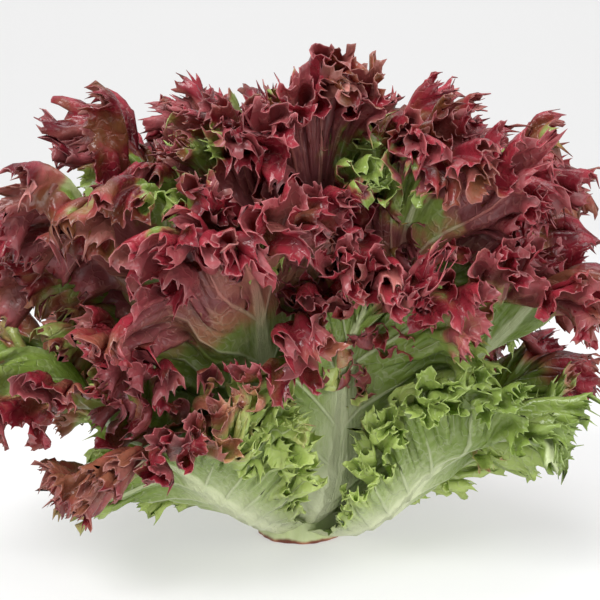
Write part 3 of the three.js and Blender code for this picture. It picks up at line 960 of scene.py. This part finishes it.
class LeafPaint:
    """A leaf's colours and fine relief, worked out from where each point is on its leaf and in the head.

    The ways to the rib and to the margin are in millimetres. Out, share, upper and depth run from 0 to 1.
    """

    def __init__(self, net, colours):
        self.net = net
        self.colours = colours
        self.place = net.node("ShaderNodeTexCoord", output="Object")
        self.vein, self.vein_pace = self.known("vein"), self.known("vein_pace")
        self.out, self.margin = self.known("out"), self.known("margin")
        self.rib, self.share = self.known("rib"), self.known("share")
        self.upper, self.depth = self.known("upper"), self.known("depth")
        self.patches = self.noise(PATCHES_TO_METRE, 1.0)
        self.spots = self.noise(SPOTS_TO_METRE, 1.0)
        self.mottle = self.noise(MOTTLE_TO_METRE, 2.0)
        self.fine = self.noise(FINE_TO_METRE, 2.0)
        self.fibres = self.rib_fibres()
        # A number of its own for each leaf, from -0.5 to 0.5
        tone = net.node("ShaderNodeTexWhiteNoise", {"noise_dimensions": "1D"}, {"W": self.depth * 97})
        self.tone = tone - 0.5
        self.inner = self.depth.between(0.3, 0.55)
        self.redness = self.turned_red()
        self.rib_line = 1 - (self.rib / (0.8 + 7 * self.share.between(0.9, 0.0))).between(0.5, 1)
        self.veins = self.vein_lines()

    def known(self, name):
        """What the mesh has stored for each of its points."""
        return self.net.node("ShaderNodeAttribute", {"attribute_name": name}, output="Fac")

    def noise(self, to_metre, detail):
        """Noise in the leaf's own space, from about -0.5 to 0.5."""
        sockets = {"Vector": self.place, "Scale": to_metre, "Detail": detail}
        return self.net.node("ShaderNodeTexNoise", None, sockets) - 0.5

    def rib_fibres(self):
        """Fine streaks that run along the rib."""
        side = self.vein * (1 / SIDE_VEINS)
        axes = {0: self.rib * 0.9, 1: self.share * 5, 2: side * 30}
        place = self.net.node("ShaderNodeCombineXYZ", None, axes)
        return self.net.node("ShaderNodeTexNoise", None, {"Vector": place, "Scale": 1.0, "Detail": 2.0}) - 0.5

    def turned_red(self):
        """How far a point has turned red: most at the margin, high on the leaf and inside the head."""
        outermost = self.depth.between(0.06, 0.0) + self.depth.between(0.25, 0.05) * 0.5
        blade_later = 0.34 - 0.2 * self.depth.between(0.3, 0.6)
        turning = TURNS_RED_AT + blade_later * self.margin.between(3, 34) + 0.24 * outermost
        turning = turning - 0.1 * self.depth.between(0.5, 0.9) + 0.12 * self.tone
        spotted = self.inner * self.spots.between(0.08, 0.2) * 0.6
        turning = turning + spotted + 0.35 * self.depth.between(0.03, 0.0)
        turning = turning - 0.18 * (1 - self.upper) * self.depth.between(0.1, 0.3)
        turning = turning + self.greener()
        return (self.share - turning + self.patches * 0.6 + self.mottle * 0.14).between(-0.14, 0.26)

    def greener(self):
        """How much later a frill turns red in the patches that stayed green or paler."""
        across_front = self.net.vector("MULTIPLY", self.place, (1 / MM, 0, 1 / MM))
        backwards = self.net.node("ShaderNodeSeparateXYZ", None, {0: self.place}, output="Y")
        in_front = backwards.between(0.0, -10 * MM)
        ragged = self.mottle * 2 + self.spots * 1.5
        total = 0
        for right, height, width, amount in GREENER_PATCHES:
            apart = self.net.distance(across_front, (right, 0, height))
            total = total + (apart / width + ragged).between(1.9, 0.1) * amount
        return in_front * total

    def vein_lines(self):
        """The rib, the side veins, their branches and the fine net between them, as one mask."""
        gap = self.vein.from_whole() * self.vein_pace
        main = 1 - (gap / (1.5 - 1.1 * self.out)).between(0.3, 1)
        branch_gap = (self.vein * 3).from_whole() * self.vein_pace / 3
        branch = 1 - (branch_gap / 0.5).between(0.3, 1)
        branch = branch * self.out.between(0.3, 0.5) * self.margin.between(0.5, 4)
        fine_net = abs(self.noise(VEIN_NET_TO_METRE, 1.0)).between(0.045, 0.01)
        fine_net = fine_net * self.margin.between(1, 5) * self.rib.between(3, 9)
        return main.at_least(branch * 0.7).at_least(self.rib_line).at_least(fine_net * 0.45)

    def green(self):
        """The green parts: pale at the rib and the root, deeper up the blade, fresh at the frill."""
        net, colours = self.net, self.colours
        pale = self.rib.between(16, 3) * self.share.between(0.75, 0.1) + self.share.between(0.34, 0.02) * 0.8
        pale = (pale + self.fibres * self.rib.between(30, 6) * 0.9).at_least(0.0)
        fresh = net.mix(self.share.between(0.2, 0.55), colours.light_green, colours.deep_green)
        frill = self.margin.between(26, 4) * self.share.between(1.1, 0.35)
        fresh = net.mix(frill, fresh, colours.frill_green)
        return net.mix(pale.at_most(1.0), fresh, colours.rib)

    def red(self):
        """The red parts, darkest inside the blade and in mottled spots."""
        net, colours = self.net, self.colours
        red = net.mix(self.margin.between(3, 30), colours.burgundy, colours.deep_burgundy)
        dark = (self.mottle * 2.4 + self.patches + self.tone * 0.5 + 0.5).between(0, 1)
        return net.mix(dark, red, colours.deep_burgundy)

    def skin(self):
        """The whole leaf's colour: green, turning and red, the duller outer face, the veins and a painted
        highlight on the margin's thin edge.
        """
        net, colours = self.net, self.colours
        turned = net.mix(self.inner, colours.peach, colours.olive)
        turned = net.mix(self.redness.between(0.05, 0.5), self.green(), turned)
        faded = (self.spots * 2 + self.mottle + self.tone * 0.3 + self.patches).between(0.0, 0.5) * 0.5
        skin = net.mix(self.redness.between(0.3, 0.9) * (1 - faded), turned, self.red())
        outer_face = net.mix(self.redness * 0.4, skin, colours.mauve)
        skin = net.mix(self.upper, outer_face, skin)
        vein_colour = net.mix(self.redness, colours.rib, colours.red_vein)
        skin = net.mix(self.veins * (0.55 - 0.25 * self.upper), skin, vein_colour)
        # Painted highlight: the margin's thin edge is blended towards a pale colour, standing in for the
        # light that the edge catches
        painted_edge_highlight = net.mix(self.redness, colours.green_edge_highlight, colours.red_edge_highlight)
        return net.mix(self.margin.between(0.4, 0.1) * 0.2, skin, painted_edge_highlight)

    def relief(self):
        """Veins that stand out on the outer face and lie sunk in the inner one, with a fine uneven skin."""
        skin = self.fine * 0.5 + self.mottle * 1.6 + self.fibres * self.rib.between(24, 4) * 0.8
        height = self.veins * (1 - 2 * self.upper) * 0.5 + skin
        sockets = {"Strength": 0.8, "Distance": 0.9 * MM, "Height": height}
        return self.net.node("ShaderNodeBump", None, sockets)


def leaf_material(colours):
    material, net = new_material("leaf")
    paint = LeafPaint(net, colours)
    sockets = {
        "Base Color": paint.skin(),
        "Roughness": 0.33 - 0.08 * paint.upper + paint.fine * 0.3,
        "Normal": paint.relief(),
        "IOR": 1.5,
    }
    surface = net.node("ShaderNodeBsdfPrincipled", None, sockets)
    green_glow = net.node("ShaderNodeBsdfTranslucent", None, {"Color": (*colours.green_glow, 1)})
    red_glow = net.node("ShaderNodeBsdfTranslucent", None, {"Color": (*colours.red_glow, 1)})
    glow = net.node("ShaderNodeMixShader", None, {0: paint.redness, 1: green_glow, 2: red_glow})
    thin = LIGHT_THROUGH * (1 - paint.rib_line * 0.7)
    mixed = net.node("ShaderNodeMixShader", None, {0: thin, 1: surface, 2: glow})
    net.node("ShaderNodeOutputMaterial", None, {"Surface": mixed})
    return material


def stem_material(colours):
    """Pale fibrous flesh, browned unevenly at the cut face."""
    material, net = new_material("stem")
    place = net.node("ShaderNodeTexCoord", output="Object")
    height = net.node("ShaderNodeSeparateXYZ", None, {0: place}, output="Z")
    stretched = net.node("ShaderNodeMapping", None, {"Vector": place, "Scale": (1.0, 1.0, 0.12)})
    fibres = net.node("ShaderNodeTexNoise", None, {"Vector": stretched, "Scale": 420.0, "Detail": 4.0})
    blotches = net.node("ShaderNodeTexNoise", None, {"Vector": place, "Scale": 120.0, "Detail": 3.0})
    cut = (height + (blotches - 0.5) * CUT_FACE_RAGGEDNESS).between(*CUT_FACE_COLOUR_HEIGHTS)
    flesh = net.mix(fibres, colours.rib, colours.light_green)
    browned = net.mix(blotches.between(0.35, 0.65), colours.cut_dark, colours.cut_light)
    bump = net.node("ShaderNodeBump", None, {"Strength": 0.6, "Distance": 0.6 * MM, "Height": fibres})
    sockets = {"Base Color": net.mix(cut, flesh, browned), "Roughness": 0.62 - 0.12 * fibres, "Normal": bump}
    surface = net.node("ShaderNodeBsdfPrincipled", None, sockets)
    net.node("ShaderNodeOutputMaterial", None, {"Surface": surface})
    return material


def floor_material():
    """Pale and plain, with a little light of its own so that it stays nearly white."""
    material, net = new_material("floor")
    sockets = {
        "Base Color": (FLOOR_GREY, FLOOR_GREY, FLOOR_GREY, 1),
        "Roughness": FLOOR_ROUGHNESS,
        "Emission Color": (1, 1, 1, 1),
        "Emission Strength": FLOOR_GLOW,
    }
    surface = net.node("ShaderNodeBsdfPrincipled", None, sockets)
    net.node("ShaderNodeOutputMaterial", None, {"Surface": surface})
    return material


def length_property(label, words, millimetres):
    return FloatProperty(name=label, description=words, default=millimetres * MM, min=0, unit="LENGTH")


def share_property(label, words, share):
    return FloatProperty(name=label, description=words, default=share, min=0, max=1, subtype="FACTOR")


def angle_property(label, words, degrees):
    return FloatProperty(name=label, description=words, default=degrees * RADIANS, subtype="ANGLE")


def colour_property(label, words, *screen):
    shown = shown_colour(*screen)
    return FloatVectorProperty(name=label, description=words, subtype="COLOR", size=3, default=shown)


class LettuceFrill(PropertyGroup):
    """Sizes of a leaf's blade and of its ruffled margin."""

    lobe_pitch: length_property("Lobe pitch", "Length of ruffled margin for each lobe", 5.7)
    lobe_depth: length_property("Lobe depth", "From a lobe's foot to its tip", 3.8)
    group_depth: length_property("Group depth", "How far every few lobes stand out together", 3)
    lobe_unevenness: share_property("Lobe unevenness", "How unlike the lobes' widths are", 0.25)
    roll_angle: angle_property("Roll angle", "How far the margin rolls over", 50)
    pleat_height: length_property("Pleat height", "Height of the broadest waves", 8.8)
    fold_height: length_property("Fold height", "Height of the frill's folds", 4.4)
    crimp_height: length_property("Crimp height", "Height of the smallest waves", 1.4)
    curl_height: length_property("Curl height", "How far a lobe bends over", 1.6)
    overhang: share_property("Overhang", "How far a fold leans over its neighbours", 0.24)
    blade_thickness: length_property("Blade thickness", "Thickness of the thin blade", 0.5)
    vein_height: length_property("Vein height", "Height of a side vein at the rib", 1.1)


class LettuceColours(PropertyGroup):
    """Colours of the leaves and the stem."""

    rib: colour_property("Rib", "Pale ribs and leaf bases", 220, 226, 186)
    light_green: colour_property("Light green", "Lower blades", 192, 208, 142)
    deep_green: colour_property("Deep green", "Blades further up", 130, 152, 70)
    frill_green: colour_property("Frill green", "Low frills that stay green", 200, 218, 124)
    peach: colour_property("Peach", "Where green turns to red on the outer leaves", 184, 126, 92)
    olive: colour_property("Olive", "Where green turns to red on the inner leaves", 142, 104, 58)
    burgundy: colour_property("Burgundy", "Red frills", 168, 52, 66)
    deep_burgundy: colour_property("Deep burgundy", "Darkest red", 92, 20, 30)
    mauve: colour_property("Mauve", "The duller outer face where it is red", 176, 112, 112)
    red_vein: colour_property("Red vein", "Veins in the red", 204, 132, 120)
    # Painted highlights: pale colours painted on the margin's thin edge, standing in for the light that the
    # edge catches
    green_edge_highlight: colour_property("Green rim", "The margin's thin edge in the green", 214, 226, 170)
    red_edge_highlight: colour_property("Red rim", "The margin's thin edge in the red", 236, 176, 172)
    green_glow: colour_property("Green glow", "Light that comes through green blades", 176, 210, 80)
    red_glow: colour_property("Red glow", "Light that comes through red blades", 186, 62, 54)
    cut_dark: colour_property("Cut, dark", "The cut face where it has browned", 112, 52, 34)
    cut_light: colour_property("Cut, light", "The cut face between the browned parts", 176, 112, 82)


class LettuceStage(PropertyGroup):
    """The camera that looks at the head."""

    lens: FloatProperty(name="Lens", description="Focal length in millimetres", default=85, min=1)
    azimuth: angle_property("Azimuth", "How far the camera is turned to the right", 0)
    elevation: angle_property("Elevation", "How far up the camera is turned", 8)
    view_height: length_property("View height", "What the picture takes in at the head", 240)
    aim_height: length_property("Aim height", "Where the camera aims on the head's axis", 96)


class LETTUCE_OT_leaves(Operator):
    """Make the ruffled leaves and let them stand for the plain ones"""

    bl_idname = "lettuce.leaves"
    bl_label = "Make leaves"

    def execute(self, context):
        if not LEAF_NODES:
            raise RuntimeError("The frame holds no leaves")
        sizes = context.scene.lettuce_frill
        material = leaf_material(context.scene.lettuce_colours)
        tree = ruffle_tree()
        for number, node in enumerate(LEAF_NODES):
            form = LeafForm(number, len(LEAF_NODES))
            sheet = LeafSheet(form, tree, sizes, material)
            piece = add_piece(f"{node}_frilled", leaf_mesh(node, form, sheet, sizes))
            piece.data.materials.append(material)
            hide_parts(node)
            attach(piece, "root")
        return {"FINISHED"}


def stem_mesh():
    """The stem's ridged, tapering side, its cut face and its hidden top."""
    turn = np.arange(STEM_SIDES) / STEM_SIDES * TURN
    ridge = np.ones(STEM_SIDES)
    for count, height, shift in STEM_RIDGES:
        ridge += height * np.sin(count * turn + shift)
    rings = []
    for z, share in STEM_RINGS:
        r = share * (STEM_FOOT_RADIUS + (STEM_TOP_RADIUS - STEM_FOOT_RADIUS) * z / STEM_HEIGHT)
        x, y = r * ridge * np.sin(turn), -r * ridge * np.cos(turn)
        rings.append(np.column_stack((x, y, np.full(STEM_SIDES, z))))
    points = np.concatenate([*rings, [(0, 0, 0)], [(0, 0, STEM_HEIGHT)]]) * MM
    here = np.arange(STEM_SIDES)
    after = (here + 1) % STEM_SIDES
    band = np.column_stack((here, after, after + STEM_SIDES, here + STEM_SIDES))
    quads = np.concatenate([band + ring * STEM_SIDES for ring in range(len(rings) - 1)])
    last = (len(rings) - 1) * STEM_SIDES
    foot_middle, top_middle = len(points) - 2, len(points) - 1
    under = np.column_stack((after, here, np.full(STEM_SIDES, foot_middle)))
    over = np.column_stack((here + last, after + last, np.full(STEM_SIDES, top_middle)))
    return make_mesh("stem", points, quads, np.concatenate((under, over)))


class LETTUCE_OT_stem(Operator):
    """Make the stem with its ridged side and browned cut face"""

    bl_idname = "lettuce.stem"
    bl_label = "Make stem"

    def execute(self, context):
        piece = add_piece("stem_fine", stem_mesh())
        piece.data.materials.append(stem_material(context.scene.lettuce_colours))
        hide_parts("stem")
        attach(piece, "root")
        return {"FINISHED"}


def floor_mesh():
    """A flat floor that sweeps up behind the head, as one sheet."""
    angle = np.linspace(0, math.pi / 2, SWEEP_STEPS)
    depth = np.concatenate(([-FLOOR_REACH], SWEEP_START + SWEEP_RADIUS * np.sin(angle)))
    height = np.concatenate(([0], SWEEP_RADIUS * (1 - np.cos(angle))))
    depth, height = np.append(depth, depth[-1]), np.append(height, FLOOR_REACH)
    count = len(depth)
    sides = [np.column_stack((np.full(count, x), depth, height)) for x in (-FLOOR_REACH, FLOOR_REACH)]
    here = np.arange(count - 1)
    quads = np.column_stack((here, here + count, here + count + 1, here + 1))
    return make_mesh("floor", np.concatenate(sides), quads, np.empty((0, 3), int))


def add_lamp(name, place, size, power):
    light = bpy.data.lights.new(name, "AREA")
    light.shape = "DISK"
    light.size = size
    light.energy = power
    lamp = bpy.data.objects.new(name, light)
    lamp.location = place
    lamp.rotation_euler = (Vector(LAMPS_AIM) - Vector(place)).to_track_quat("-Z", "Y").to_euler()
    bpy.context.scene.collection.objects.link(lamp)


def add_camera(scene):
    stage = scene.lettuce_stage
    camera = bpy.data.cameras.new("camera")
    camera.lens = stage.lens
    camera.sensor_width = SENSOR_WIDTH
    a, e = stage.azimuth, stage.elevation
    back = Vector((math.sin(a) * math.cos(e), -math.cos(a) * math.cos(e), math.sin(e)))
    distance = stage.view_height / camera.sensor_width * stage.lens
    viewer = bpy.data.objects.new("camera", camera)
    viewer.location = Vector((0, 0, stage.aim_height)) + back * distance
    viewer.rotation_euler = (-back).to_track_quat("-Z", "Y").to_euler()
    scene.collection.objects.link(viewer)
    scene.camera = viewer


class LETTUCE_OT_stage(Operator):
    """Make the pale floor, the soft light and the camera"""

    bl_idname = "lettuce.stage"
    bl_label = "Make stage"

    def execute(self, context):
        floor = add_piece("floor", floor_mesh())
        floor.data.materials.append(floor_material())

        sky = bpy.data.worlds.new("studio")
        context.scene.world = sky
        sky.use_nodes = True
        sky.node_tree.nodes["Background"].inputs["Color"].default_value = (1, 1, 1, 1)
        sky.node_tree.nodes["Background"].inputs["Strength"].default_value = SKY_STRENGTH
        for name, place, size, power in LAMPS:
            add_lamp(name, place, size, power)
        add_camera(context.scene)
        context.scene.view_settings.view_transform = "Standard"
        return {"FINISHED"}


class LETTUCE_PT_panel(Panel):
    """Sizes, colours and makers of the lettuce"""

    bl_label = "Red Leaf Lettuce"
    bl_idname = "LETTUCE_PT_panel"
    bl_space_type = "VIEW_3D"
    bl_region_type = "UI"
    bl_category = "Lettuce"

    def draw(self, context):
        scene = context.scene
        for group in (scene.lettuce_frill, scene.lettuce_colours, scene.lettuce_stage):
            box = self.layout.box()
            for name in group.bl_rna.properties.keys():
                if name not in ("rna_type", "name"):
                    box.prop(group, name)
        for operator in (LETTUCE_OT_stem, LETTUCE_OT_leaves, LETTUCE_OT_stage):
            self.layout.operator(operator.bl_idname)


CLASSES = (
    LettuceFrill,
    LettuceColours,
    LettuceStage,
    LETTUCE_OT_leaves,
    LETTUCE_OT_stem,
    LETTUCE_OT_stage,
    LETTUCE_PT_panel,
)


def register():
    for cls in CLASSES:
        bpy.utils.register_class(cls)
    bpy.types.Scene.lettuce_frill = PointerProperty(type=LettuceFrill)
    bpy.types.Scene.lettuce_colours = PointerProperty(type=LettuceColours)
    bpy.types.Scene.lettuce_stage = PointerProperty(type=LettuceStage)


def unregister():
    del bpy.types.Scene.lettuce_stage
    del bpy.types.Scene.lettuce_colours
    del bpy.types.Scene.lettuce_frill
    for cls in reversed(CLASSES):
        bpy.utils.unregister_class(cls)


def main():
    register()
    bpy.ops.lettuce.stem()
    bpy.ops.lettuce.leaves()
    bpy.ops.lettuce.stage()
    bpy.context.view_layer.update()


if __name__ == "__main__":
    main()
